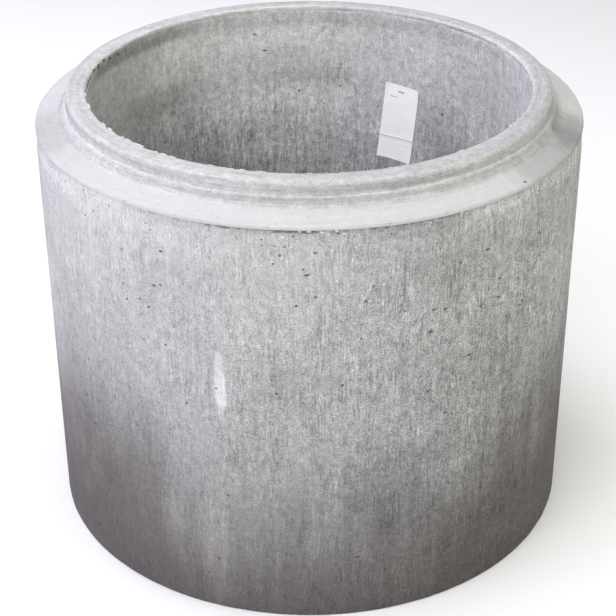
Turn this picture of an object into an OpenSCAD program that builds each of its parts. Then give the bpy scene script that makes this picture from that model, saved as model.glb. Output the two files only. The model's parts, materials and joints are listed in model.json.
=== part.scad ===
// Concrete shaft ring, cast in one piece, with a spigot at the top and a socket in the foot.
// It stands on its foot with the bore upright. Millimetres, +Z up.
// The origin is at the middle of the foot, on the bore's axis.

/* [Ring] */
// Diameter of the bore
bore_d = 1000; // [800:10:1200]
// Thickness of the wall
wall_t = 120; // [100:2:150]
// Height of the shoulder's outer edge above the foot
shoulder_h = 975; // [500:5:1200]
// Radius that the shoulder's outer edge is rounded to
shoulder_edge_r = 10; // [2:1:12]
// Radius that the foot's outer edge is rounded to
foot_edge_r = 4; // [2:1:10]

/* [Spigot] */
// Thickness of the spigot's straight band
spigot_t = 49; // [38:1:52]
// Height of the straight band, from the ledge to the top
band_h = 31; // [20:1:60]
// Width of the ledge that the sealing ring rests on
ledge_w = 5; // [2:1:8]
// Height of the neck, from the shoulder to the ledge
neck_h = 17; // [12:1:40]
// How far the neck flares out between the ledge and the shoulder
neck_flare = 8; // [4:1:10]
// Rise of the shoulder from its outer edge to the neck
shoulder_rise = 17; // [8:1:18]
// Radius of the hollow where the shoulder meets the neck
root_r = 10; // [4:1:14]
// Radius that the spigot's top edge is rounded to
spigot_edge_r = 10; // [2:1:14]
// Radius that the rim of the bore is rounded to
rim_edge_r = 8; // [2:1:14]
// Height of the tapered lead-in below the rim
lead_in_h = 45; // [30:1:60]
// How much the lead-in widens the bore's radius
lead_in_w = 2; // [1:0.5:4]

/* [Socket] */
// Gap between the neck of the ring below and the socket's wall
joint_gap = 4; // [2:0.5:6]
// Height of the bed between the shoulder's edge of the ring below and the foot
bed_gap = 12; // [10:1:20]
// Gap above the spigot of the ring below
end_gap = 7; // [4:1:15]
// Width of the flat foot
foot_w = 20; // [12:1:20]

/* [Paper label] */
// Width of the label
label_w = 95; // [60:1:140]
// Height of the label
label_h = 210; // [120:1:260]
// Thickness of the label with its glue
label_t = 0.8; // [0.6:0.1:1.5]
// Height of the label's middle below the spigot's top
label_drop = 299; // [220:1:360]
// Bearing of the label around the bore, from +X
label_bearing = 62.4; // [0:0.1:360]
// How far the label leans over, clockwise from inside
label_lean = 6; // [-15:0.5:15]

/* [Hidden] */
$fn = 360;
bore_r = bore_d / 2;
body_r = bore_r + wall_t;
spigot_r = bore_r + spigot_t;
neck_r = spigot_r + ledge_w;
neck_foot_r = neck_r + neck_flare;
neck_foot_z = shoulder_h + shoulder_rise;
ledge_z = neck_foot_z + neck_h;
top_z = ledge_z + band_h;
lead_in_z = top_z - lead_in_h;
// Slope of the shoulder and of the foot that beds on it
shoulder_slope = shoulder_rise / (body_r - neck_foot_r);
// The socket follows the spigot of the ring below, with the gaps between them
stack_pitch = shoulder_h + bed_gap;
socket_r = neck_r + joint_gap;
socket_depth = top_z - stack_pitch + end_gap;
foot_in_r = body_r - foot_w;
mouth_r = neck_foot_r + joint_gap;
mouth_z = (foot_in_r - mouth_r) * shoulder_slope;
throat_z = mouth_z + neck_h;
label_z = top_z - label_drop;

// Points of an arc of radius r that rounds the corner at b, between a and c
function round_corner(a, b, c, r, steps = 8) =
    let (
        u = (a - b) / norm(a - b),
        v = (c - b) / norm(c - b),
        half = acos(u * v) / 2,
        middle = b + (u + v) / norm(u + v) * r / sin(half),
        from = b + u * r / tan(half) - middle,
        to = b + v * r / tan(half) - middle,
        sweep = (from[0] * to[1] - from[1] * to[0] > 0 ? 1 : -1) * (180 - 2 * half)
    )
    [for (i = [0:steps])
        let (t = sweep * i / steps)
        middle + [from[0] * cos(t) - from[1] * sin(t), from[0] * sin(t) + from[1] * cos(t)]];

// Half of the casting's section, out from the axis and up from the foot
module ring_section() {
    foot_outer = [body_r, 0];
    shoulder_edge = [body_r, shoulder_h];
    neck_foot = [neck_foot_r, neck_foot_z];
    ledge_outer = [neck_r, ledge_z];
    ledge_inner = [spigot_r, ledge_z];
    spigot_edge = [spigot_r, top_z];
    rim = [bore_r + lead_in_w, top_z];
    lead_in_foot = [bore_r, lead_in_z];
    polygon(concat(
        [[foot_in_r, 0]],
        round_corner([foot_in_r, 0], foot_outer, shoulder_edge, foot_edge_r),
        round_corner(foot_outer, shoulder_edge, neck_foot, shoulder_edge_r),
        round_corner(shoulder_edge, neck_foot, ledge_outer, root_r),
        [ledge_outer, ledge_inner],
        round_corner(ledge_inner, spigot_edge, rim, spigot_edge_r),
        round_corner(spigot_edge, rim, lead_in_foot, rim_edge_r),
        [
            lead_in_foot,
            [bore_r, socket_depth],
            [socket_r, socket_depth],
            [socket_r, throat_z],
            [mouth_r, mouth_z]
        ]
    ));
}

// Body, shoulder, spigot, bore and socket, cast in one pour
module ring() {
    color("gainsboro")
        rotate_extrude()
            ring_section();
}

// Paper sheet glued to the wall of the bore
module paper_label() {
    color("white")
        intersection() {
            difference() {
                translate([0, 0, label_z - label_h])
                    cylinder(r = bore_r, h = 2 * label_h);
                translate([0, 0, label_z - label_h - 1])
                    cylinder(r = bore_r - label_t, h = 2 * label_h + 2);
            }
            translate([0, 0, label_z])
                rotate([0, 0, label_bearing])
                    rotate([label_lean, 0, 0])
                        translate([bore_r / 2, -label_w / 2, -label_h / 2])
                            cube([bore_r, label_w, label_h]);
        }
}

ring();
paper_label();
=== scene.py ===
import json
import math
import random

import bmesh
import bpy
from mathutils import Matrix, Vector, noise


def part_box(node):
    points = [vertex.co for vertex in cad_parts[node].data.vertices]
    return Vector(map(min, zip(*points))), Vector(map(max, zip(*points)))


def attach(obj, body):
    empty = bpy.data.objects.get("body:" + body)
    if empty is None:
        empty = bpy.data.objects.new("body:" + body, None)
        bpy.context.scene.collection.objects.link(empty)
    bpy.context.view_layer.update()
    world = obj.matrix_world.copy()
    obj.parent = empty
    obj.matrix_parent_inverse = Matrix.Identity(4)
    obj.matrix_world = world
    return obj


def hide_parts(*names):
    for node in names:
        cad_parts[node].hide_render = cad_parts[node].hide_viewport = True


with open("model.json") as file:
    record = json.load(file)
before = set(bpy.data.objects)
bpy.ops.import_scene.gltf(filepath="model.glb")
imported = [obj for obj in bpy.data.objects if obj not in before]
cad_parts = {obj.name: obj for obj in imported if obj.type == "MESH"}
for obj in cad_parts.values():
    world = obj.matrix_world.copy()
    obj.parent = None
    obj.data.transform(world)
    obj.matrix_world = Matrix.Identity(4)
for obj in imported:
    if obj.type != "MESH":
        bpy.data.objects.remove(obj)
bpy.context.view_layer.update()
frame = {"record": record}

# ---------------------------------------------------------------- sizes, in metres

MM = 0.001
ring_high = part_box("ring")[1]
label_low, label_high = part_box("paper_label")
mounts = {mount["name"]: mount for mount in frame["record"]["mounts"]}


def mount_radius(name):
    """Radius of one of the record's round mounts."""
    return mounts[name]["dims"]["r_mm"] * MM


BODY_R = ring_high.x
TOP_Z = ring_high.z
BORE_R = mount_radius("bore")
SPIGOT_R = mount_radius("spigot")
SOCKET_R = mount_radius("socket")

SHOULDER_Z = 0.975
SHOULDER_RISE = 0.017
LEDGE_W = 0.005
NECK_FLARE = 0.008
NECK_H = 0.017
LEAD_IN_H = 0.045
LEAD_IN_W = 0.002
SOCKET_DEPTH = 0.060
FOOT_W = 0.020
MOUTH_GAP = 0.004

NECK_R = SPIGOT_R + LEDGE_W
NECK_FOOT_R = NECK_R + NECK_FLARE
NECK_FOOT_Z = SHOULDER_Z + SHOULDER_RISE
LEDGE_Z = NECK_FOOT_Z + NECK_H
RIM_R = BORE_R + LEAD_IN_W
SHOULDER_SLOPE = SHOULDER_RISE / (BODY_R - NECK_FOOT_R)
MOUTH_R = NECK_FOOT_R + MOUTH_GAP
MOUTH_Z = (BODY_R - FOOT_W - MOUTH_R) * SHOULDER_SLOPE

SEGMENTS = 680
SEED = 4


# ---------------------------------------------------------------- shader helpers


class Graph:
    """Adds nodes to a tree. An input takes a socket, which is linked, or a value."""

    def __init__(self, tree):
        self.tree = tree

    def feed(self, socket, value):
        """Links a socket to the input, or sets the input's value."""
        if isinstance(value, bpy.types.NodeSocket):
            self.tree.links.new(value, socket)
        else:
            socket.default_value = value

    def node(self, kind, inputs=None, **settings):
        """A new node with those settings and inputs."""
        made = self.tree.nodes.new(kind)
        for name, value in settings.items():
            setattr(made, name, value)
        for name, value in (inputs or {}).items():
            self.feed(made.inputs[name], value)
        return made

    def math(self, operation, a, b=0.0, c=0.0):
        made = self.node("ShaderNodeMath", operation=operation)
        for socket, value in zip(made.inputs, (a, b, c)):
            self.feed(socket, value)
        return made.outputs[0]

    def scaled(self, vector, x, y, z):
        """The vector with each of its parts multiplied."""
        made = self.node("ShaderNodeVectorMath", operation="MULTIPLY")
        self.feed(made.inputs[0], vector)
        made.inputs[1].default_value = (x, y, z)
        return made.outputs[0]

    def times(self, vector, scale):
        """The vector made longer."""
        made = self.node("ShaderNodeVectorMath", operation="SCALE")
        self.feed(made.inputs[0], vector)
        self.feed(made.inputs["Scale"], scale)
        return made.outputs[0]

    def parts(self, vector):
        """The vector's X, Y and Z."""
        return self.node("ShaderNodeSeparateXYZ", {"Vector": vector}).outputs

    def around_and_up(self, place):
        """The two parts that matter of a place on an unrolled surface or a sheet."""
        sides = self.parts(place)
        return sides["X"], sides["Y"]

    def joined(self, x, y, z):
        return self.node("ShaderNodeCombineXYZ", {"X": x, "Y": y, "Z": z}).outputs[0]

    def noise(self, vector, scale, detail=2.0, roughness=0.5, distortion=0.0):
        """Noise from 0 to 1, about 0.5."""
        inputs = {
            "Vector": vector,
            "Scale": scale,
            "Detail": detail,
            "Roughness": roughness,
            "Distortion": distortion,
        }
        return self.node("ShaderNodeTexNoise", inputs).outputs["Fac"]

    def fade(self, value, start, end, first=0.0, last=1.0):
        """Goes smoothly from first to last as value goes from start to end."""
        inputs = {
            "Value": value,
            "From Min": start,
            "From Max": end,
            "To Min": first,
            "To Max": last,
        }
        made = self.node("ShaderNodeMapRange", inputs, interpolation_type="SMOOTHSTEP")
        return made.outputs[0]

    def mix(self, factor, a, b, blend="MIX"):
        """Colour a where the factor is 0, and b where it is 1."""
        made = self.node("ShaderNodeMix", data_type="RGBA", blend_type=blend)
        self.feed(made.inputs["Factor"], factor)
        self.feed(made.inputs[6], a)
        self.feed(made.inputs[7], b)
        return made.outputs[2]

    def shaded(self, colour, tone):
        """The colour multiplied by a tone."""
        grey = self.joined(tone, tone, tone)
        return self.mix(1.0, colour, grey, "MULTIPLY")


def new_group(name, inputs, outputs):
    """A shader group, with its input and output nodes. An input whose value is None takes a vector."""
    tree = bpy.data.node_groups.new(name, "ShaderNodeTree")
    for socket, value in inputs.items():
        if value is None:
            tree.interface.new_socket(socket, in_out="INPUT", socket_type="NodeSocketVector")
        else:
            made = tree.interface.new_socket(socket, in_out="INPUT", socket_type="NodeSocketFloat")
            made.default_value = value
    for socket in outputs:
        tree.interface.new_socket(socket, in_out="OUTPUT", socket_type="NodeSocketFloat")
    graph = Graph(tree)
    source = graph.node("NodeGroupInput").outputs
    sink = graph.node("NodeGroupOutput").inputs
    return tree, graph, source, sink


def use_group(graph, tree, **inputs):
    """Places a group in a material, and gives its outputs: half_width=1 feeds its input Half Width."""
    made = graph.node("ShaderNodeGroup", node_tree=tree)
    for name, value in inputs.items():
        graph.feed(made.inputs[name.replace("_", " ").title()], value)
    return made.outputs


# ---------------------------------------------------------------- effects that the finishes share


def cement_group():
    """Clouds, mottling and sand grain of set cement."""
    tree, graph, source, sink = new_group(
        "cement",
        {"Position": None, "Clouds": 0.1, "Mottle": 0.1, "Grain": 0.1},
        ["Tone", "Height"],
    )
    position = source["Position"]
    cloud = graph.noise(position, scale=5.0, detail=3.0, roughness=0.6, distortion=0.4)
    mottle = graph.noise(position, scale=60.0, detail=4.0, roughness=0.78, distortion=0.3)
    grain = graph.noise(position, scale=320.0, detail=2.0, roughness=0.7)
    tone = 1.0
    for fleck, strength in ((cloud, "Clouds"), (mottle, "Mottle"), (grain, "Grain")):
        spread = graph.fade(fleck, 0.27, 0.73, first=-1.0)
        tone = graph.math("MULTIPLY_ADD", spread, source[strength], tone)
    graph.feed(sink["Tone"], tone)
    graph.feed(sink["Height"], graph.math("MULTIPLY_ADD", mottle, 1.6, grain))
    return tree


def streaks_group():
    """Drag marks along Z of the position given: fine scratches and broader bands, that come and go."""
    tree, graph, source, sink = new_group(
        "streaks",
        {"Position": None, "Across": 200.0, "Along": 0.2, "Fine": 0.2, "Broad": 0.1},
        ["Tone", "Height"],
    )
    x, y, z = graph.parts(source["Position"])
    drawn = graph.joined(x, y, graph.math("MULTIPLY", z, source["Along"]))
    quarter = graph.math("MULTIPLY", source["Along"], 0.25)
    longer = graph.joined(x, y, graph.math("MULTIPLY", z, quarter))
    fine = graph.times(drawn, source["Across"])
    fine = graph.noise(fine, scale=1.0, detail=2.0, roughness=0.65, distortion=0.3)
    broad = graph.times(longer, source["Across"])
    broad = graph.noise(broad, scale=0.3, detail=2.0, roughness=0.6, distortion=0.3)
    present = graph.noise(source["Position"], scale=18.0, detail=3.0, roughness=0.6)
    present = graph.fade(present, 0.38, 0.62, first=0.1)
    fine = graph.math("MULTIPLY", graph.fade(fine, 0.25, 0.75, first=-1.0), present)
    broad = graph.fade(broad, 0.25, 0.75, first=-1.0)
    tone = graph.math("MULTIPLY_ADD", fine, source["Fine"], 1.0)
    graph.feed(sink["Tone"], graph.math("MULTIPLY_ADD", broad, source["Broad"], tone))
    graph.feed(sink["Height"], graph.math("MULTIPLY_ADD", broad, 0.6, fine))
    return tree


def pinholes_group():
    """Small holes that air leaves in the skin: a mask, and a height that sinks in them."""
    tree, graph, source, sink = new_group(
        "pinholes",
        {"Position": None, "Spacing": 0.02, "Radius": 0.002, "Share": 0.5},
        ["Hole", "Height"],
    )
    ragged = graph.node(
        "ShaderNodeTexNoise", {"Vector": source["Position"], "Scale": 350.0, "Detail": 1.0}
    )
    place = graph.node("ShaderNodeVectorMath", operation="MULTIPLY_ADD")
    graph.feed(place.inputs[0], ragged.outputs["Color"])
    place.inputs[1].default_value = (0.003, 0.003, 0.003)
    graph.feed(place.inputs[2], graph.scaled(source["Position"], 1.0, 1.0, 0.75))
    cells = graph.node(
        "ShaderNodeTexVoronoi",
        {"Vector": place.outputs[0], "Scale": graph.math("DIVIDE", 1.0, source["Spacing"])},
        feature="F1",
    )
    chance = graph.node("ShaderNodeSeparateColor", {"Color": cells.outputs["Color"]}).outputs
    reach = graph.math("MULTIPLY", cells.outputs["Distance"], source["Spacing"])
    share = graph.math("MULTIPLY_ADD", graph.math("POWER", chance[0], 2.0), 0.7, 0.3)
    size = graph.math("MULTIPLY", source["Radius"], share)
    inside = graph.fade(graph.math("DIVIDE", reach, size), 0.5, 1.0, first=1.0, last=0.0)
    hole = graph.math("MULTIPLY", inside, graph.math("LESS_THAN", chance[1], source["Share"]))
    graph.feed(sink["Hole"], hole)
    graph.feed(sink["Height"], graph.math("MULTIPLY", hole, -1.0))
    return tree


def patch_group():
    """A soft patch with ragged edges, at a place on the unrolled surface."""
    tree, graph, source, sink = new_group(
        "patch",
        {"Place": None, "Around": 0.0, "Up": 0.0, "Half Width": 0.1, "Half Height": 0.1},
        ["Mask"],
    )
    around, up = graph.around_and_up(source["Place"])
    ragged = graph.noise(source["Place"], scale=16.0, detail=4.0, roughness=0.65)
    ragged = graph.math("SUBTRACT", ragged, 0.5)
    across = graph.math("DIVIDE", graph.math("SUBTRACT", around, source["Around"]), source["Half Width"])
    along = graph.math("DIVIDE", graph.math("SUBTRACT", up, source["Up"]), source["Half Height"])
    reach = graph.math("MULTIPLY_ADD", across, across, graph.math("MULTIPLY", along, along))
    reach = graph.math("ADD", ragged, graph.math("SQRT", reach))
    graph.feed(sink["Mask"], graph.fade(reach, 0.2, 1.2, first=1.0, last=0.0))
    return tree


CEMENT = cement_group()
STREAKS = streaks_group()
PINHOLES = pinholes_group()
PATCH = patch_group()


# ---------------------------------------------------------------- finishes


def blank_material(name):
    """A material with a Principled BSDF and its output, a graph to add to and the Object coordinates."""
    material = bpy.data.materials.new(name)
    material.use_nodes = True
    material.node_tree.nodes.clear()
    graph = Graph(material.node_tree)
    shader = graph.node("ShaderNodeBsdfPrincipled")
    output = graph.node("ShaderNodeOutputMaterial")
    material.node_tree.links.new(shader.outputs[0], output.inputs["Surface"])
    position = graph.node("ShaderNodeTexCoord").outputs["Object"]
    return material, graph, shader, position


def around_axis(graph, position):
    """A position whose Z runs round the ring's axis, so that streaks go round with it."""
    x, y, z = graph.parts(position)
    radius = graph.math("SQRT", graph.math("MULTIPLY_ADD", x, x, graph.math("MULTIPLY", y, y)))
    turn = graph.math("ARCTAN2", x, graph.math("MULTIPLY", y, -1.0))
    return graph.joined(radius, z, graph.math("MULTIPLY", turn, BODY_R))


def unrolled(graph, position, radius, front):
    """The surface laid flat: X runs round it from the front, or from the back, and Y is the height."""
    x, y, z = graph.parts(position)
    turn = graph.math("ARCTAN2", x, graph.math("MULTIPLY", y, -1.0 if front else 1.0))
    return graph.joined(graph.math("MULTIPLY", turn, radius), z, 0.0)


def stained_and_shaded(graph, colour, place, stains_and_shade):
    """The colour multiplied by each stain or patch of painted shade: around, up, half width, half height,
    tone.
    """
    for around, up, half_w, half_h, tone in stains_and_shade:
        mask = use_group(
            graph, PATCH, place=place, around=around, up=up, half_width=half_w, half_height=half_h
        )["Mask"]
        colour = graph.shaded(colour, graph.fade(mask, 0.0, 1.0, 1.0, tone))
    return colour


def finish_concrete(graph, shader, colour, heights, rough):
    """Feeds colour, roughness and the summed heights, in millimetres, to the shader."""
    total = heights[0]
    for height in heights[1:]:
        total = graph.math("ADD", total, height)
    bump = graph.node("ShaderNodeBump", {"Height": total, "Strength": 1.0, "Distance": MM})
    graph.feed(shader.inputs["Base Color"], colour)
    graph.feed(shader.inputs["Roughness"], rough)
    graph.feed(shader.inputs["Normal"], bump.outputs[0])
    shader.inputs["Specular IOR Level"].default_value = 0.3


def coarser(graph, tone, strength):
    """The tone with its difference from 1 multiplied by a strength."""
    return graph.math("MULTIPLY_ADD", graph.math("SUBTRACT", tone, 1.0), strength, 1.0)


# The outer wall's grey: the concrete's own, set darker than the bore's with painted shade over the whole wall
WALL_GREY_AND_SHADE = (0.43, 0.43, 0.43, 1)
JOINT_GREY = (0.48, 0.48, 0.48, 1)
BORE_GREY = (0.56, 0.56, 0.56, 1)
# Insides of holes and hollows: dust with painted shade, and darker with damp and painted shade at the foot
PIT_DUST_AND_SHADE = (0.26, 0.26, 0.26, 1)
PIT_DAMP_AND_SHADE = (0.09, 0.085, 0.085, 1)
GROUT_GREY = (0.61, 0.61, 0.61, 1)
DAMP_AND_SHADE_BROWN = (0.155, 0.138, 0.136, 1)
LIME_WHITE = (0.74, 0.75, 0.76, 1)
# Damp, dirt and painted shade at the foot: how high they climb at the front and at the sides, and how soft
# their edge is
FRONT_DAMP_AND_SHADE_Z = 0.215
SIDE_DAMP_AND_SHADE_Z = 0.40
DAMP_AND_SHADE_SOFT = 0.23
WALL_FOOT_SHADE = 0.70
BORE_LOW_TONE = 0.60

# Stains on the outer wall, and painted shade under the shoulder: round from the front, up, half width, half
# height, tone
WALL_STAINS_AND_SHADE = [
    (-0.62, 0.88, 0.35, 0.20, 1.16),
    (-0.45, 0.945, 0.36, 0.06, 1.16),
    (-0.80, 0.50, 0.16, 0.35, 1.28),
    (0.70, 0.95, 0.22, 0.035, 1.22),
    (0.44, 0.952, 0.16, 0.016, 1.16),
    (0.41, 0.91, 0.10, 0.045, 0.90),
    (-0.70, 0.943, 0.20, 0.020, 1.14),
    (-0.78, 0.80, 0.14, 0.12, 0.93),
    # painted shade under the shoulder's overhang
    (0.02, 0.966, 0.34, 0.016, 0.86),
    (0.24, 0.95, 0.16, 0.03, 0.86),
    (0.36, 0.84, 0.26, 0.10, 0.86),
    (-0.30, 0.90, 0.30, 0.05, 1.10),
    (-0.02, 0.60, 0.12, 0.08, 0.88),
    (0.46, 0.60, 0.16, 0.14, 0.88),
    (0.28, 0.66, 0.40, 0.24, 0.90),
    (0.17, 0.34, 0.12, 0.16, 0.74),
    (0.58, 0.27, 0.16, 0.12, 1.18),
    (-0.66, 0.24, 0.13, 0.14, 1.22),
    (-0.65, 0.50, 0.10, 0.05, 0.93),
    (0.33, 0.42, 0.10, 0.06, 0.86),
    (0.44, 0.03, 0.30, 0.05, 0.88),
    (-0.21, 0.15, 0.035, 0.25, 1.24),
    (-0.40, 0.20, 0.30, 0.14, 1.14),
]


def wall_concrete():
    """The outer wall: drawn out of a steel mould, dry above, and damp with painted shade near the foot."""
    material, graph, shader, position = blank_material("wall_concrete")
    place = unrolled(graph, position, BODY_R, front=True)
    cement = use_group(graph, CEMENT, position=position, clouds=0.06, mottle=0.17, grain=0.30)
    streaks = use_group(graph, STREAKS, position=position, across=230.0, along=0.14, fine=0.26, broad=0.07)
    pinholes = use_group(graph, PINHOLES, position=position, spacing=0.015, radius=0.0026, share=0.4)
    z = graph.parts(position)["Z"]
    damp_and_shade = damp_and_shade_foot(graph, position)
    # damp, dirt and painted shade darken the wall towards the foot
    colour = graph.mix(damp_and_shade, WALL_GREY_AND_SHADE, DAMP_AND_SHADE_BROWN)
    colour = stained_and_shaded(graph, colour, place, WALL_STAINS_AND_SHADE)
    strength = coarseness(graph, position)
    drag = graph.math("MULTIPLY", strength, graph.fade(z, 0.76, 0.88, first=1.0, last=1.35))
    tone = graph.math(
        "MULTIPLY", coarser(graph, cement["Tone"], strength), coarser(graph, streaks["Tone"], drag)
    )
    # painted shade: the wall darkens towards the foot
    tone = graph.math("MULTIPLY", tone, graph.fade(z, 0.2, 0.8, first=WALL_FOOT_SHADE))
    # dust and painted shade darken the pinholes
    tone = graph.math("MULTIPLY", tone, graph.fade(pinholes["Hole"], 0.0, 1.0, first=1.0, last=0.45))
    colour = graph.shaded(colour, tone)
    colour = graph.mix(lime_run(graph, place), colour, LIME_WHITE)
    rough = graph.fade(damp_and_shade, 0.0, 1.0, first=0.9, last=0.74)
    heights = [
        graph.math("MULTIPLY", cement["Height"], strength),
        graph.math("MULTIPLY", streaks["Height"], 0.7),
        graph.math("MULTIPLY", pinholes["Height"], 2.0),
    ]
    finish_concrete(graph, shader, colour, heights, rough)
    return material


def coarseness(graph, position):
    """How strong the texture is: less where the mould was well oiled, at the top and in the damp."""
    sides = graph.parts(position)
    x, z = sides["X"], sides["Z"]
    oiled = graph.fade(x, -0.45, 0.55, first=0.90, last=1.60)
    top = graph.fade(z, 0.76, 0.88, last=-0.32)
    return graph.math("MULTIPLY", graph.math("ADD", oiled, top), graph.fade(z, 0.1, 0.5, first=0.75))


def damp_and_shade_foot(graph, position):
    """Mask of the damp and dirt that climb from the foot, with painted shade there too, higher at the sides
    than at the front.
    """
    sides = graph.parts(position)
    x, z = sides["X"], sides["Z"]
    side = graph.math("ABSOLUTE", graph.math("DIVIDE", x, BODY_R))
    limit = graph.fade(side, 0.35, 0.78, FRONT_DAMP_AND_SHADE_Z, SIDE_DAMP_AND_SHADE_Z)
    swelling = graph.math("SUBTRACT", graph.noise(position, scale=3.5, detail=2.0), 0.5)
    drawn_down = graph.scaled(position, 1.0, 1.0, 0.16)
    runs = graph.noise(drawn_down, scale=22.0, detail=4.0, roughness=0.6)
    runs = graph.math("SUBTRACT", runs, 0.5)
    limit = graph.math("MULTIPLY_ADD", swelling, 0.22, limit)
    limit = graph.math("MULTIPLY_ADD", runs, 0.26, limit)
    return graph.fade(graph.math("SUBTRACT", z, limit), -DAMP_AND_SHADE_SOFT, DAMP_AND_SHADE_SOFT, 1.0, 0.0)


LIME_AROUND = -0.1895
LIME_TOP_Z = 0.682
LIME_TAIL_Z = 0.547
LIME_LOW_Z = 0.49
LIME_HALF_W = 0.0155
LIME_LEAN = 0.03
LIME_TAIL_W = 0.45
LIME_NECK_H = 0.11


def lime_run(graph, place):
    """Mask of the white run of lime on the front of the wall: it swells as it runs down, to a thin tail."""
    around, up = graph.around_and_up(place)
    ragged = graph.noise(graph.scaled(place, 1.0, 0.3, 1.0), scale=110.0, detail=3.0, roughness=0.7)
    ragged = graph.math("SUBTRACT", ragged, 0.5)
    blotches = graph.noise(place, scale=70.0, detail=3.0, roughness=0.7)
    blotches = graph.fade(blotches, 0.35, 0.6, first=0.48, last=0.85)
    body = graph.fade(up, LIME_TAIL_Z - 20 * MM, LIME_TAIL_Z + 15 * MM, first=LIME_TAIL_W)
    neck = graph.fade(up, LIME_TOP_Z - LIME_NECK_H, LIME_TOP_Z, 1.0, 0.5)
    half_w = graph.math("MULTIPLY", graph.math("MULTIPLY", body, neck), LIME_HALF_W)
    leaning = graph.math("MULTIPLY", graph.math("SUBTRACT", up, LIME_TAIL_Z), LIME_LEAN)
    across = graph.math("ADD", graph.math("SUBTRACT", around, LIME_AROUND), leaning)
    across = graph.math("DIVIDE", across, half_w)
    across = graph.math("ABSOLUTE", graph.math("MULTIPLY_ADD", ragged, 1.5, across))
    run = graph.math("MULTIPLY", graph.fade(across, 0.6, 1.15, first=1.0, last=0.0), blotches)
    run = graph.math("MULTIPLY", run, graph.math("MULTIPLY", body, neck))
    run = graph.math("MULTIPLY", run, graph.fade(up, LIME_LOW_Z, LIME_LOW_Z + 30 * MM))
    return graph.math("MULTIPLY", run, graph.fade(up, LIME_TOP_Z - 12 * MM, LIME_TOP_Z, 1.0, 0.0))


NECK_BLEND = 12 * MM  # how far the neck's finish runs out over the shoulder

# Stains on the shoulder and the spigot, given as on the wall; the darker rows on the right at 0.981 and 1.001
# are painted shadow of the spigot on the shoulder and neck
JOINT_STAINS_AND_SHADOW = [
    # painted shadow of the spigot on the shoulder's right
    (0.66, 0.981, 0.22, 0.018, 0.74),
    (0.80, 0.981, 0.14, 0.018, 0.68),
    (-0.80, 0.981, 0.16, 0.016, 0.84),
    (0.40, 0.998, 0.20, 0.010, 0.88),
    (0.84, 1.001, 0.10, 0.014, 0.80),
    (-0.84, 1.001, 0.12, 0.014, 1.12),
    (0.64, 1.022, 0.12, 0.014, 1.12),
    (-0.20, 1.022, 0.12, 0.014, 1.10),
    (0.20, 1.022, 0.26, 0.013, 0.80),
    (-0.05, 1.000, 0.42, 0.010, 0.84),
    (-0.66, 1.015, 0.28, 0.020, 1.09),
    (-0.62, 1.000, 0.24, 0.010, 1.12),
    (0.34, 1.020, 0.14, 0.018, 1.12),
]


def joint_concrete():
    """Shoulder, spigot and foot: cast against turned steel rings, smooth and pale."""
    material, graph, shader, position = blank_material("joint_concrete")
    place = unrolled(graph, position, BODY_R, front=True)
    cement = use_group(graph, CEMENT, position=position, clouds=0.04, mottle=0.13, grain=0.12)
    turned_place = around_axis(graph, position)
    turned = use_group(
        graph, STREAKS, position=turned_place, across=230.0, along=0.12, fine=0.12, broad=0.1
    )
    pinholes = use_group(graph, PINHOLES, position=position, spacing=0.016, radius=0.0022, share=0.25)
    radius = from_axis(graph, position)
    strength = graph.fade(radius, NECK_FOOT_R, NECK_FOOT_R + NECK_BLEND, 1.1, 0.36)
    tone = coarser(graph, graph.math("MULTIPLY", cement["Tone"], turned["Tone"]), strength)
    # dust and painted shade darken the pinholes
    tone = graph.math("MULTIPLY", tone, graph.fade(pinholes["Hole"], 0.0, 1.0, first=1.0, last=0.6))
    # the spigot's duller top, with painted shade and painted highlights
    tone = graph.math("MULTIPLY", tone, spigot_tone_and_light(graph, position))
    colour = stained_and_shaded(graph, graph.shaded(JOINT_GREY, tone), place, JOINT_STAINS_AND_SHADOW)
    heights = [
        graph.math("MULTIPLY", cement["Height"], graph.math("MULTIPLY", strength, 0.7)),
        graph.math("MULTIPLY", turned["Height"], graph.math("MULTIPLY", strength, 0.5)),
        graph.math("MULTIPLY", pinholes["Height"], 1.0),
    ]
    finish_concrete(graph, shader, colour, heights, 0.86)
    return material


def from_axis(graph, position):
    """Distance from the ring's axis."""
    sides = graph.parts(position)
    x, y = sides["X"], sides["Y"]
    return graph.math("SQRT", graph.math("MULTIPLY_ADD", x, x, graph.math("MULTIPLY", y, y)))


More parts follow.
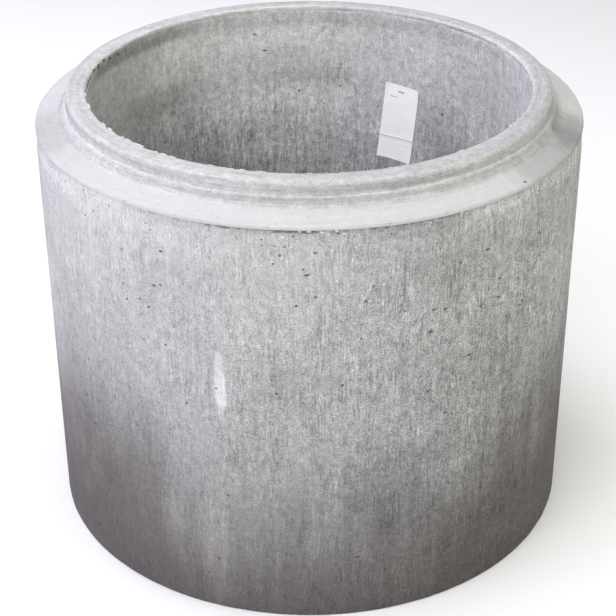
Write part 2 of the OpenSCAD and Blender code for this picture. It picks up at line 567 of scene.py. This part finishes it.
def spigot_tone_and_light(graph, position):
    """Duller on the top face, with painted shade darkening it towards the right, a painted highlight on the
    ledge that fades out on the right, and a painted highlight on the rim's rounding.
    """
    sides = graph.parts(position)
    x, z = sides["X"], sides["Z"]
    radius = from_axis(graph, position)
    on_top = graph.fade(z, TOP_Z - 4 * MM, TOP_Z - 1 * MM)
    # painted shade: the top face darkens from left to right
    top_dull_and_shade = graph.fade(x, -0.45, 0.35, first=0.93, last=0.84)
    tone = graph.math("MULTIPLY_ADD", graph.math("SUBTRACT", top_dull_and_shade, 1.0), on_top, 1.0)
    near = graph.fade(radius, NECK_FOOT_R, NECK_FOOT_R + NECK_BLEND, 1.0, 0.0)
    near = graph.math("MULTIPLY", near, graph.fade(x, 0.22, 0.42, first=1.0, last=0.25))
    ragged = graph.noise(around_axis(graph, position), scale=45.0, detail=3.0, roughness=0.7)
    ragged = graph.math("SUBTRACT", ragged, 0.5)
    from_ledge = graph.math("MULTIPLY_ADD", ragged, 7 * MM, graph.math("SUBTRACT", z, LEDGE_Z))
    # painted highlight: a pale band along the ledge
    line = graph.fade(graph.math("ABSOLUTE", from_ledge), 0.6 * MM, 2.4 * MM, first=1.0, last=0.0)
    tone = graph.math("MULTIPLY_ADD", graph.math("MULTIPLY", line, near), 0.10, tone)
    # painted highlight on the rounding of the rim
    rim_highlight = graph.fade(radius, RIM_R + 2 * MM, RIM_R + 8 * MM, 1.0, 0.0)
    rim_highlight = graph.math("MULTIPLY", rim_highlight, graph.fade(z, TOP_Z - 8 * MM, TOP_Z - 4 * MM))
    return graph.math("MULTIPLY_ADD", rim_highlight, 0.14, tone)


# Stains in the bore, and painted shade over its left wall: round from the back, up, half width, half height,
# tone
BORE_STAINS_AND_SHADE = [
    (0.0, 1.008, 1.10, 0.020, 0.84),
    (-0.50, 1.012, 0.26, 0.028, 0.66),
    # painted shade over the bore's left wall, which faces away from the light
    (-0.62, 0.80, 0.30, 0.60, 0.80),
    (0.03, 0.855, 0.16, 0.030, 0.86),
    (-0.42, 0.85, 0.18, 0.06, 0.80),
    (-0.12, 0.77, 0.28, 0.09, 1.18),
    (-0.10, 0.955, 0.36, 0.035, 1.14),
    (0.36, 0.72, 0.12, 0.16, 0.90),
    (-0.12, 0.66, 0.16, 0.06, 1.14),
    (-0.22, 0.615, 0.07, 0.05, 0.84),
    (-0.44, 0.70, 0.16, 0.20, 0.87),
    (0.46, 0.69, 0.13, 0.10, 0.88),
    (0.60, 0.95, 0.12, 0.05, 0.92),
    (0.17, 0.64, 0.10, 0.08, 0.87),
    (-0.36, 0.60, 0.14, 0.07, 0.80),
    (0.04, 0.61, 0.06, 0.05, 1.12),
    (0.55, 0.88, 0.14, 0.07, 0.90),
]


def bore_concrete():
    """Wall of the bore: drawn off the core, and darker further down."""
    material, graph, shader, position = blank_material("bore_concrete")
    place = unrolled(graph, position, BORE_R, front=False)
    cement = use_group(graph, CEMENT, position=position, clouds=0.10, mottle=0.21, grain=0.24)
    streaks = use_group(graph, STREAKS, position=position, across=210.0, along=0.16, fine=0.17, broad=0.06)
    pinholes = use_group(graph, PINHOLES, position=position, spacing=0.017, radius=0.0026, share=0.3)
    z = graph.parts(position)["Z"]
    strength = graph.fade(z, 0.62, 0.92, first=1.35)
    drawn = coarser(graph, streaks["Tone"], graph.fade(z, 0.62, 0.92, first=2.8))
    tone = graph.math("MULTIPLY", coarser(graph, cement["Tone"], strength), drawn)
    tone = graph.math("MULTIPLY", tone, graph.fade(z, 0.45, 0.97, first=BORE_LOW_TONE))
    # dust and painted shade darken the pinholes
    tone = graph.math("MULTIPLY", tone, graph.fade(pinholes["Hole"], 0.0, 1.0, first=1.0, last=0.5))
    colour = stained_and_shaded(graph, graph.shaded(BORE_GREY, tone), place, BORE_STAINS_AND_SHADE)
    heights = [
        cement["Height"],
        graph.math("MULTIPLY", streaks["Height"], 0.6),
        graph.math("MULTIPLY", pinholes["Height"], 2.0),
    ]
    finish_concrete(graph, shader, colour, heights, 0.88)
    return material


def pit_concrete():
    """Inside of the air holes: rough and dark with dust and painted shade, and darker still where damp and
    painted shade climb from the foot.
    """
    material, graph, shader, position = blank_material("pit_concrete")
    cement = use_group(graph, CEMENT, position=position, clouds=0.1, mottle=0.3, grain=0.3)
    colour = graph.mix(damp_and_shade_foot(graph, position), PIT_DUST_AND_SHADE, PIT_DAMP_AND_SHADE)
    finish_concrete(graph, shader, graph.shaded(colour, cement["Tone"]), [cement["Height"]], 0.95)
    return material


def grout_crumbs():
    """Grout that leaked out of the mould and set: paler than the rest."""
    material, graph, shader, position = blank_material("grout_crumbs")
    cement = use_group(graph, CEMENT, position=position, clouds=0.05, mottle=0.15, grain=0.15)
    colour = graph.shaded(GROUT_GREY, cement["Tone"])
    finish_concrete(graph, shader, colour, [cement["Height"]], 0.9)
    return material


PAPER_WHITE = (0.965, 0.965, 0.975, 1)
PAPER_PALER = (0.985, 0.985, 0.99, 1)
RULE_GREY = (0.35, 0.36, 0.38, 1)
# grey of the print, also used for the painted shade along the fold
PRINT_AND_FOLD_SHADE_GREY = (0.25, 0.25, 0.26, 1)
PAPER_ROWS = 25
FOLD_UP = 0.30
FOLD_TILT = 0.02
# Plain printed bars on the label: their ends across it, and their ends up it
PAPER_BARS = [(0.36, 0.58, 0.895, 0.93), (0.16, 0.38, 0.825, 0.845)]
BAR_SOFT_END = 0.03
BAR_SOFT_EDGE = 0.008
BAR_STRENGTH = 0.62
RULE_STRENGTH = 0.15


def printed_bar(graph, across, up, left, right, low, high):
    """Mask of one plain bar on the label."""
    inside = graph.fade(across, left, left + BAR_SOFT_END)
    inside = graph.math("MULTIPLY", inside, graph.fade(up, low, low + BAR_SOFT_EDGE))
    inside = graph.math("MULTIPLY", inside, graph.fade(across, right - BAR_SOFT_END, right, 1.0, 0.0))
    return graph.math("MULTIPLY", inside, graph.fade(up, high - BAR_SOFT_EDGE, high, 1.0, 0.0))


def paper():
    """White label paper with faint ruled lines, uneven in length, painted shade along its fold and small
    wrinkles.
    """
    material, graph, shader, position = blank_material("label_paper")
    uv = graph.node("ShaderNodeUVMap", uv_map="sheet").outputs[0]
    across, up = graph.around_and_up(uv)
    cloud = graph.noise(position, scale=40.0, detail=3.0)
    colour = graph.mix(graph.fade(cloud, 0.3, 0.7), PAPER_WHITE, PAPER_PALER)
    rows = graph.math("MULTIPLY", up, PAPER_ROWS)
    row = graph.math("FLOOR", rows)
    from_rule = graph.math("ABSOLUTE", graph.math("SUBTRACT", graph.math("SUBTRACT", rows, row), 0.5))
    rule = graph.fade(from_rule, 0.08, 0.22, first=1.0, last=0.0)
    row_end = graph.noise(graph.joined(row, 0.0, 0.0), scale=1.7, detail=0.0)
    right_end = graph.fade(row_end, 0.3, 0.7, first=0.55, last=0.92)
    ruled = graph.math("MULTIPLY", rule, graph.math("LESS_THAN", across, right_end))
    ruled = graph.math("MULTIPLY", ruled, graph.math("GREATER_THAN", across, 0.10))
    ruled = graph.math("MULTIPLY", ruled, graph.fade(up, 0.74, 0.76, first=1.0, last=0.0))
    ruled = graph.math("MULTIPLY", ruled, graph.math("GREATER_THAN", up, 0.06))
    colour = graph.mix(graph.math("MULTIPLY", ruled, RULE_STRENGTH), colour, RULE_GREY)
    for left, right, low, high in PAPER_BARS:
        bar = printed_bar(graph, across, up, left, right, low, high)
        colour = graph.mix(graph.math("MULTIPLY", bar, BAR_STRENGTH), colour, PRINT_AND_FOLD_SHADE_GREY)
    from_fold = graph.math("MULTIPLY_ADD", graph.math("SUBTRACT", across, 0.5), -FOLD_TILT, up)
    from_fold = graph.math("ABSOLUTE", graph.math("SUBTRACT", from_fold, FOLD_UP))
    # painted shade: a dark crease along the fold
    fold_shade_line = graph.fade(from_fold, 0.004, 0.010, first=0.55, last=0.0)
    colour = graph.mix(fold_shade_line, colour, PRINT_AND_FOLD_SHADE_GREY)
    wrinkle = graph.noise(position, scale=55.0, detail=3.0, roughness=0.6, distortion=1.0)
    bump = graph.node("ShaderNodeBump", {"Height": wrinkle, "Strength": 1.0, "Distance": MM})
    graph.feed(shader.inputs["Base Color"], colour)
    graph.feed(shader.inputs["Roughness"], graph.fade(wrinkle, 0.2, 0.8, first=0.5, last=0.65))
    graph.feed(shader.inputs["Normal"], bump.outputs[0])
    return material


# ---------------------------------------------------------------- the casting

ARRIS_STEPS = 5
SHOULDER_ARRIS_R = 7.5 * MM
SPIGOT_ARRIS_R = 13 * MM
RIM_ARRIS_R = 8 * MM
ROOT_R = 12 * MM
LEDGE_ROOT_R = 3 * MM
LEDGE_ARRIS_R = 1.5 * MM
FOOT_ARRIS_R = 4 * MM
WALL_ROW = 0.055
FINE_ROW = 0.0105
CREASE_Z = 0.9650
CREASE_HALF = 0.0035
CREASE_BEARING = -88
CREASE_FRONT = 0.82
CREASE_FRONT_SPAN = 0.18
LIP_Z = 1.0275
LIP_HALF = 0.0012
TORN_BEARING = -135

# How deep each kind of wear goes
UNEVEN = 0.5 * MM
BAND_LOW_Z = 0.9
BAND_DEPTH = 2.2 * MM
CREASE_DEPTH = 4.6 * MM
CREASE_DARK_DEPTH = 4.0 * MM
LIP_DEPTH = 1.6 * MM
CHIP_FINE = 0.7 * MM
CHIP_BROAD = 1.0 * MM
TORN_FIN = 3.6 * MM
FOOT_WEAR = 1.2 * MM

# Slots of the casting's finishes
WALL, JOINT, BORE, PIT, CRUMB = range(5)

# Air holes that show at the front: bearing round the ring, height, radius in millimetres
FRONT_HOLES = [
    (-128.5, 0.860, 3.0),
    (-119.0, 0.885, 4.4),
    (-121.0, 0.800, 4.2),
    (-128.0, 0.745, 3.6),
    (-122.5, 0.745, 4.6),
    (-119.0, 0.665, 4.0),
    (-89.0, 0.920, 3.8),
    (-90.5, 0.870, 4.6),
    (-89.0, 0.820, 3.6),
    (-92.5, 0.800, 3.8),
    (-79.5, 0.805, 4.2),
    (-72.0, 0.770, 3.2),
    (-84.0, 0.610, 4.4),
    (-96.5, 0.590, 4.2),
    (-91.5, 0.570, 3.2),
    (-54.0, 0.865, 4.4),
    (-60.5, 0.855, 3.4),
    (-50.5, 0.785, 4.2),
    (-50.5, 0.740, 3.8),
    (-55.0, 0.735, 4.4),
    (-43.0, 0.700, 4.2),
    (-66.0, 0.760, 4.4),
    (-63.5, 0.755, 3.6),
    (-66.5, 0.710, 4.6),
    (-57.5, 0.625, 4.6),
    (-48.0, 0.685, 3.6),
    (-35.5, 0.655, 3.6),
    (-66.5, 0.565, 3.8),
    (-80.5, 0.160, 4.2),
    (-80.0, 0.145, 3.6),
    (-70.5, 0.050, 3.6),
]
# Air holes in the wall of the bore, given the same way
BORE_HOLES = [
    (93.0, 0.810, 4.0),
    (106.0, 0.970, 3.8),
    (103.0, 0.925, 3.8),
    (47.5, 0.795, 4.6),
    (45.5, 0.835, 3.2),
    (108.5, 0.680, 3.6),
    (137.0, 0.735, 3.2),
]


def on_ring(bearing, radius, z):
    """The place at that bearing in degrees, distance from the axis and height."""
    turn = math.radians(bearing)
    return Vector((radius * math.cos(turn), radius * math.sin(turn), z))


def swell(place, length, shift=0.0):
    """Smooth noise from -1 to 1, with bumps of about that length."""
    return noise.noise(place / length + Vector((shift, shift, shift)))


def facing(place, bearing):
    """1 on the side of the ring at that bearing, 0 at its quarters and -1 opposite."""
    return math.cos(math.atan2(place.y, place.x) - math.radians(bearing))


def draw_section(bm, corners):
    """Half of the ring's section, as a loop of edges."""
    points = [bm.verts.new((r, 0.0, z)) for r, z in corners]
    for i, point in enumerate(points):
        bm.edges.new((points[i - 1], point))


def round_arris(bm, r, z, radius, steps):
    """Rounds the ring of edges at that radius and height."""
    reach = 0.2 * MM

    def meets(vert):
        return abs(vert.co.xy.length - r) < reach and abs(vert.co.z - z) < reach

    ring = [edge for edge in bm.edges if meets(edge.verts[0]) and meets(edge.verts[1])]
    turn = ring[0].calc_face_angle()
    bmesh.ops.bevel(
        bm,
        geom=ring,
        offset=radius * math.tan(turn / 2),
        offset_type="OFFSET",
        segments=steps,
        profile=0.5,
        affect="EDGES",
        material=-1,
    )


def cut_rows(bm):
    """Cuts the long faces into rows, so that the casting's surface can be uneven."""
    sides = {}
    for edge in bm.edges:
        length = edge.calc_length()
        if length > FINE_ROW:
            sides.setdefault(round(length, 4), []).append(edge)
    for length, edges in sides.items():
        row = WALL_ROW if length > 0.5 else FINE_ROW
        bmesh.ops.subdivide_edges(bm, edges=edges, cuts=int(length / row))


def turn_casting():
    """The ring as one closed mesh, turned from its half section."""
    bm = bmesh.new()
    draw_section(
        bm,
        [
            (BODY_R - FOOT_W, 0.0),
            (BODY_R, 0.0),
            (BODY_R, CREASE_Z - CREASE_HALF),
            (BODY_R, CREASE_Z),
            (BODY_R, CREASE_Z + CREASE_HALF),
            (BODY_R, SHOULDER_Z),
            (NECK_FOOT_R, NECK_FOOT_Z),
            (NECK_R, LEDGE_Z),
            (SPIGOT_R, LEDGE_Z),
            (SPIGOT_R, TOP_Z),
            (RIM_R, TOP_Z),
            (lead_in_r(LIP_Z + LIP_HALF), LIP_Z + LIP_HALF),
            (lead_in_r(LIP_Z), LIP_Z),
            (lead_in_r(LIP_Z - LIP_HALF), LIP_Z - LIP_HALF),
            (BORE_R, TOP_Z - LEAD_IN_H),
            (BORE_R, SOCKET_DEPTH),
            (SOCKET_R, SOCKET_DEPTH),
            (SOCKET_R, MOUTH_Z + NECK_H),
            (MOUTH_R, MOUTH_Z),
        ],
    )
    bmesh.ops.spin(
        bm,
        geom=bm.verts[:] + bm.edges[:],
        cent=(0, 0, 0),
        axis=(0, 0, 1),
        angle=math.tau,
        steps=SEGMENTS,
        use_merge=True,
    )
    bmesh.ops.recalc_face_normals(bm, faces=bm.faces[:])
    round_arris(bm, BODY_R, 0.0, FOOT_ARRIS_R, 2)
    round_arris(bm, BODY_R, SHOULDER_Z, SHOULDER_ARRIS_R, ARRIS_STEPS)
    round_arris(bm, NECK_FOOT_R, NECK_FOOT_Z, ROOT_R, 3)
    round_arris(bm, NECK_R, LEDGE_Z, LEDGE_ARRIS_R, 2)
    round_arris(bm, SPIGOT_R, LEDGE_Z, LEDGE_ROOT_R, 2)
    round_arris(bm, SPIGOT_R, TOP_Z, SPIGOT_ARRIS_R, ARRIS_STEPS)
    round_arris(bm, RIM_R, TOP_Z, RIM_ARRIS_R, ARRIS_STEPS)
    cut_rows(bm)
    return bm


def lead_in_r(z):
    """Radius of the tapered lead-in at that height."""
    return BORE_R + LEAD_IN_W * (z - TOP_Z + LEAD_IN_H) / LEAD_IN_H


def wear_depth(place):
    """How far the surface lies under its true face there."""
    radius = place.xy.length
    z = place.z
    depth = UNEVEN * (1 + swell(place, 0.22))
    if radius > BODY_R - 0.5 * MM and BAND_LOW_Z < z < CREASE_Z:
        band = (z - BAND_LOW_Z) / (CREASE_Z - BAND_LOW_Z)
        depth += BAND_DEPTH * band * band * (1 + 0.6 * swell(place, 0.03, 15))
    if abs(radius - BODY_R) < 0.5 * MM and abs(z - CREASE_Z) < 0.1 * MM:
        front = max(facing(place, CREASE_BEARING) - CREASE_FRONT, 0.0) / CREASE_FRONT_SPAN
        open_crease = 0.5 + 0.7 * swell(place, 0.045, 3) + 0.9 * swell(place, 0.012, 4)
        open_crease = (0.4 + 0.6 * front) * open_crease - 0.1 * (1 - front)
        depth += CREASE_DEPTH * min(max(open_crease, 0.0), 1.0)
    if radius < RIM_R and abs(z - LIP_Z) < 0.1 * MM:
        open_lip = 0.4 + 0.6 * facing(place, 125) + 0.8 * swell(place, 0.06, 5)
        depth += LIP_DEPTH * min(max(open_lip, 0.0), 1.0)
    on_shoulder_arris = radius > BODY_R - 12 * MM and CREASE_Z + CREASE_HALF < z
    on_rim = radius < RIM_R + 9 * MM and z > TOP_Z - 9 * MM
    on_spigot_arris = radius > SPIGOT_R - 14 * MM and z > TOP_Z - 14 * MM
    if on_shoulder_arris or on_rim or on_spigot_arris:
        depth += CHIP_FINE * max(swell(place, 0.018, 7) + 0.2, 0.0)
        depth += CHIP_BROAD * max(swell(place, 0.06, 9), 0.0)
    if radius < RIM_R + 3 * MM and TOP_Z - 8 * MM < z < TOP_Z - 1 * MM:
        torn = max(facing(place, TORN_BEARING), 0.0)
        depth -= TORN_FIN * torn * max(swell(place, 0.022, 11), 0.0)
    if radius > BODY_R - 6 * MM and z < 5 * MM:
        depth += FOOT_WEAR * max(swell(place, 0.035, 13), 0.0)
    return depth


def weather(bm):
    """Wears and warps the true faces of the mould, never outwards past the ring's own size."""
    bm.normal_update()
    for vert in bm.verts:
        inward = vert.normal * wear_depth(vert.co)
        if vert.co.z < MM:
            inward.z = 0.0
        vert.co -= inward


def darken_crease(bm):
    """Dust and shadow in the crease, wherever it is open."""
    for face in bm.faces:
        centre = face.calc_center_median()
        in_crease = abs(centre.z - CREASE_Z) < CREASE_HALF and centre.xy.length > SPIGOT_R
        if in_crease and centre.xy.length < BODY_R - CREASE_DARK_DEPTH:
            face.material_index = PIT


def set_finishes(bm):
    """Gives each face the finish of the mould that it was cast against."""
    for face in bm.faces:
        centre = face.calc_center_median()
        radius = centre.xy.length
        if radius > BODY_R - 6 * MM and centre.z < CREASE_Z + CREASE_HALF:
            face.material_index = WALL
        elif radius < BORE_R + 5 * MM and centre.z < LIP_Z + LIP_HALF:
            face.material_index = BORE
        else:
            face.material_index = JOINT


class Lumps:
    """Rough balls, none touching another, to cut out of the casting or to join to it."""

    def __init__(self, seed):
        self.bm = bmesh.new()
        self.taken = []
        self.rng = random.Random(seed)

    def size(self, least, most, usual):
        """Draws a radius, given in millimetres."""
        return self.rng.triangular(least, most, usual) * MM

    def bearing(self):
        """Draws a place round the ring."""
        return self.rng.uniform(0, 360)

    def add(self, bearing, distance, z, radius, finish, stretch=(1, 1, 1)):
        """Adds a ball, stretched outwards, round the ring and upwards, unless its place is taken."""
        place = on_ring(bearing, distance, z)
        reach = 1.3 * radius * max(stretch)
        if any((place - other).length < reach + other_reach for other, other_reach in self.taken):
            return
        self.taken.append((place, reach))
        ball = bmesh.ops.create_icosphere(self.bm, subdivisions=2, radius=radius)["verts"]
        for vert in ball:
            vert.co *= 1 + 0.6 * swell(vert.co + place, 0.8 * radius)
        bmesh.ops.scale(self.bm, verts=ball, vec=stretch)
        turn = Matrix.Rotation(math.radians(bearing), 3, "Z")
        bmesh.ops.rotate(self.bm, verts=ball, cent=(0, 0, 0), matrix=turn)
        bmesh.ops.translate(self.bm, verts=ball, vec=place)
        for face in {face for vert in ball for face in vert.link_faces}:
            face.material_index = finish


def make_holes():
    """The air holes, and the chips along the arrises."""
    holes = Lumps(SEED)
    rng = holes.rng
    for bearing, z, size in FRONT_HOLES:
        radius = size * MM
        holes.add(bearing, BODY_R - 0.2 * radius, z, radius, PIT, (0.9, rng.uniform(0.8, 1.4), 0.7))
    for bearing, z, size in BORE_HOLES:
        radius = size * MM
        holes.add(bearing, BORE_R + 0.2 * radius, z, radius, PIT, (0.9, rng.uniform(0.8, 1.4), 0.7))
    for _ in range(220):  # all over the wall
        radius = holes.size(1.3, 4.0, 1.6)
        holes.add(holes.bearing(), BODY_R - 0.5 * MM, rng.uniform(0.03, 0.95), radius, PIT)
    for _ in range(60):  # in the rough band under the shoulder
        radius = holes.size(1.3, 2.8, 1.6)
        z = rng.triangular(0.88, 0.963, 0.955)
        holes.add(holes.bearing(), BODY_R - 1.4 * MM, z, radius, PIT, (1.0, 1.3, 0.8))
    for _ in range(60):  # all over the bore
        radius = holes.size(1.3, 3.4, 1.6)
        holes.add(holes.bearing(), BORE_R + 0.5 * MM, rng.uniform(0.1, 0.98), radius, PIT)
    holes.add(-43.5, BODY_R - 10 * MM, SHOULDER_Z + 2 * MM, 4 * MM, PIT)
    for _ in range(24):  # fine ones on the shoulder
        radius = holes.size(1.2, 3.0, 1.4)
        distance = rng.uniform(NECK_FOOT_R + 8 * MM, BODY_R - 12 * MM)
        z = SHOULDER_Z + (BODY_R - distance) * SHOULDER_SLOPE
        holes.add(holes.bearing(), distance, z, radius, JOINT)
    for _ in range(26):  # chips along the foot
        radius = holes.size(3, 9, 4)
        holes.add(holes.bearing(), BODY_R + 0.4 * radius, 0.2 * MM, radius, WALL, (0.8, 1.7, 0.9))
    for _ in range(24):  # chips along the shoulder's arris
        radius = holes.size(2.5, 6, 3)
        holes.add(holes.bearing(), BODY_R - 1 * MM, SHOULDER_Z - 2 * MM, radius, JOINT, (0.7, 1.6, 0.7))
    for _ in range(24):  # chips along the rim
        radius = holes.size(2, 4.5, 2.5)
        holes.add(holes.bearing(), RIM_R, TOP_Z, radius, JOINT, (0.9, 1.5, 0.9))
    for _ in range(24):  # the broken stretch of the lead-in
        radius = holes.size(5, 9, 6)
        z = TOP_Z - rng.uniform(6, 22) * MM
        holes.add(rng.triangular(145, 194, 180), RIM_R + 0.1 * radius, z, radius, PIT, (0.5, 1.4, 1.0))
    for _ in range(10):  # chips along the spigot
        radius = holes.size(2.5, 5, 3)
        holes.add(holes.bearing(), SPIGOT_R, TOP_Z, radius, JOINT, (0.9, 1.5, 0.9))
    return holes.bm


def make_crumbs():
    """Grout that leaked where the parts of the mould met: beads under the shoulder, a torn fin on the rim."""
    crumbs = Lumps(SEED + 1)
    rng = crumbs.rng
    for i in range(300):  # beads under the shoulder, half of them pale
        bearing = crumbs.bearing()
        radius = crumbs.size(1.4, 4.4, 1.8)
        z = CREASE_Z - crumbs.size(-2, 22, 1)
        finish = CRUMB if i % 2 == 0 else WALL
        if swell(on_ring(bearing, 1.0, 0.0), 0.14, 21) > -0.1:
            crumbs.add(bearing, BODY_R - 0.95 * radius, z, radius, finish, (0.6, 1.4, 0.8))
    for _ in range(70):  # the torn fin
        bearing = rng.triangular(TORN_BEARING - 42, TORN_BEARING + 48, TORN_BEARING)
        radius = crumbs.size(1.3, 3.4, 1.5)
        stretch = (0.9, rng.uniform(2.5, 8.0), 0.55)
        if swell(on_ring(bearing, 0.5, 0.0), 0.07, 23) > -0.2:
            crumbs.add(bearing, RIM_R - 0.2 * MM, TOP_Z - 3.6 * MM, radius, CRUMB, stretch)
    for _ in range(26):  # small scraps on the rest of the rim
        bearing = rng.uniform(-90, 50)
        radius = crumbs.size(1.2, 2.6, 1.4)
        stretch = (0.8, rng.uniform(1.5, 4.5), 0.5)
        crumbs.add(bearing, RIM_R - 0.2 * MM, TOP_Z - 4 * MM, radius, CRUMB, stretch)
    return crumbs.bm


def plain_object(name, bm):
    """An object of that name in the scene, made from the bmesh."""
    mesh = bpy.data.meshes.new(name)
    bm.to_mesh(mesh)
    bm.free()
    made = bpy.data.objects.new(name, mesh)
    bpy.context.scene.collection.objects.link(made)
    return made


def combine(target, tool, operation):
    """Cuts the tool out of the target, or joins it on, and removes the tool."""
    change = target.modifiers.new("change", "BOOLEAN")
    change.operation = operation
    change.solver = "MANIFOLD"
    change.material_mode = "INDEX"
    change.object = tool
    depsgraph = bpy.context.evaluated_depsgraph_get()
    mesh = bpy.data.meshes.new_from_object(target.evaluated_get(depsgraph))
    target.modifiers.clear()
    old_mesh = target.data
    target.data = mesh
    bpy.data.meshes.remove(old_mesh)
    bpy.data.objects.remove(tool)


SHARP_FROM = math.radians(38)


def smooth(mesh):
    """Smooth shading that keeps real corners sharp."""
    mesh.shade_smooth()
    mesh.set_sharp_from_angle(angle=SHARP_FROM)


def make_casting():
    """The ring with its wear, its five finishes, its crumbs of grout and its holes."""
    bm = turn_casting()
    set_finishes(bm)
    weather(bm)
    darken_crease(bm)
    casting = plain_object("concrete_casting", bm)
    for finish in (wall_concrete, joint_concrete, bore_concrete, pit_concrete, grout_crumbs):
        casting.data.materials.append(finish())
    combine(casting, plain_object("crumbs", make_crumbs()), "UNION")
    combine(casting, plain_object("holes", make_holes()), "DIFFERENCE")
    casting.data.name = "concrete_casting"
    smooth(casting.data)
    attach(casting, "root")
    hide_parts("ring")
    return casting


# ---------------------------------------------------------------- the label

LABEL_W = 0.095
LABEL_H = 0.210
LABEL_LEAN = math.radians(6)
LABEL_GAP = 0.5 * MM
PAPER_T = 0.25 * MM
FOLD_LIFT = 1.2 * MM
FOLD_HALF = 0.03
CORNER_FROM = 0.8
CORNER_LIFT = 3.0 * MM
CRUMPLE = 0.4 * MM


def make_label():
    """A sheet that is bent to the wall of the bore, folded across and lifting a little at its corners."""
    middle = (label_low + label_high) / 2
    bearing = math.degrees(math.atan2(middle.y, middle.x))
    bm = bmesh.new()
    sheet_map = bm.loops.layers.uv.new("sheet")
    bmesh.ops.create_grid(bm, x_segments=24, y_segments=60, size=0.5)
    for face in bm.faces:
        for loop in face.loops:
            loop[sheet_map].uv = (loop.vert.co.x + 0.5, loop.vert.co.y + 0.5)
    for vert in bm.verts:
        across, up = vert.co.xy
        corner = max(abs(across) + abs(up) - CORNER_FROM, 0.0) / (1 - CORNER_FROM)
        fold = max(1 - abs(up + 0.5 - FOLD_UP - FOLD_TILT * across) / FOLD_HALF, 0.0)
        crumple = CRUMPLE * (1 + swell(vert.co, 0.25, 31))
        vert.co.z = LABEL_GAP + crumple + FOLD_LIFT * fold + CORNER_LIFT * corner * corner
    bmesh.ops.scale(bm, verts=bm.verts[:], vec=(LABEL_W, LABEL_H, 1.0))
    bmesh.ops.rotate(bm, verts=bm.verts[:], cent=(0, 0, 0), matrix=Matrix.Rotation(-LABEL_LEAN, 3, "Z"))
    bmesh.ops.solidify(bm, geom=bm.faces[:], thickness=PAPER_T)
    for vert in bm.verts:
        turn = bearing - math.degrees(vert.co.x / BORE_R)
        vert.co = on_ring(turn, BORE_R - max(vert.co.z, 0.1 * MM), middle.z + vert.co.y)
    bmesh.ops.recalc_face_normals(bm, faces=bm.faces[:])
    label = plain_object("bore_label", bm)
    label.data.materials.append(paper())
    smooth(label.data)
    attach(label, "root")
    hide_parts("paper_label")
    return label


# ---------------------------------------------------------------- camera, floor and light

CAMERA_BACK = 3.361
CAMERA_UP = 2.361
CAMERA_LENS = 92.4
LOOK_DOWN = math.radians(29.72)
LOOK_LEFT = math.radians(0.085)
CAMERA_ROLL = math.radians(-0.32)


def make_camera():
    """Stands in front of the ring, above its top, and looks down into it."""
    data = bpy.data.cameras.new("camera")
    data.sensor_width = 36.0
    data.lens = CAMERA_LENS
    camera = bpy.data.objects.new("camera", data)
    bpy.context.scene.collection.objects.link(camera)
    aim = Matrix.Rotation(LOOK_LEFT, 4, "Z") @ Matrix.Rotation(math.pi / 2 - LOOK_DOWN, 4, "X")
    roll = Matrix.Rotation(CAMERA_ROLL, 4, "Z")
    camera.matrix_world = Matrix.Translation((0, -CAMERA_BACK, CAMERA_UP)) @ aim @ roll
    bpy.context.scene.camera = camera


FLOOR_WHITE = (0.94, 0.94, 0.94, 1)


def make_floor():
    """A plain pale floor under the ring."""
    bm = bmesh.new()
    bmesh.ops.create_grid(bm, x_segments=1, y_segments=1, size=30.0)
    material, _, shader, _ = blank_material("floor")
    shader.inputs["Base Color"].default_value = FLOOR_WHITE
    shader.inputs["Roughness"].default_value = 0.9
    floor = plain_object("floor", bm)
    floor.data.materials.append(material)


# Each soft light: name, where it stands, watts, colour
SOFT_LIGHTS = [
    ("left_front", (-4.0, -3.0, 5.0), 145.0, (0.985, 0.965, 1.26)),
    ("front", (-1.5, -5.0, 4.0), 145.0, (1.0, 1.0, 0.94)),
    ("overhead", (0.0, 0.0, 5.5), 165.0, (1.0, 1.0, 1.0)),
    ("left_back", (-4.0, 3.0, 4.5), 105.0, (0.985, 0.965, 1.26)),
    ("right", (5.0, -1.5, 3.0), 60.0, (1.0, 1.0, 0.74)),
]
LIGHT_W = 4.0
SKY_COLOUR = (0.995, 1.0, 0.96, 1)
SKY_STRENGTH = 0.34


def make_light():
    """Large soft lights all round and a pale sky."""
    world = bpy.data.worlds.new("world")
    world.use_nodes = True
    background = world.node_tree.nodes["Background"]
    background.inputs["Color"].default_value = SKY_COLOUR
    background.inputs["Strength"].default_value = SKY_STRENGTH
    bpy.context.scene.world = world
    for name, place, watts, colour in SOFT_LIGHTS:
        data = bpy.data.lights.new(name, "AREA")
        data.size = LIGHT_W
        data.energy = watts
        data.color = colour
        light = bpy.data.objects.new(name, data)
        bpy.context.scene.collection.objects.link(light)
        aim = Vector((0, 0, 0.6)) - Vector(place)
        turn = aim.to_track_quat("-Z", "Y").to_matrix().to_4x4()
        light.matrix_world = Matrix.Translation(place) @ turn
    bpy.context.scene.view_settings.view_transform = "Standard"


make_camera()
make_floor()
make_light()
make_casting()
make_label()
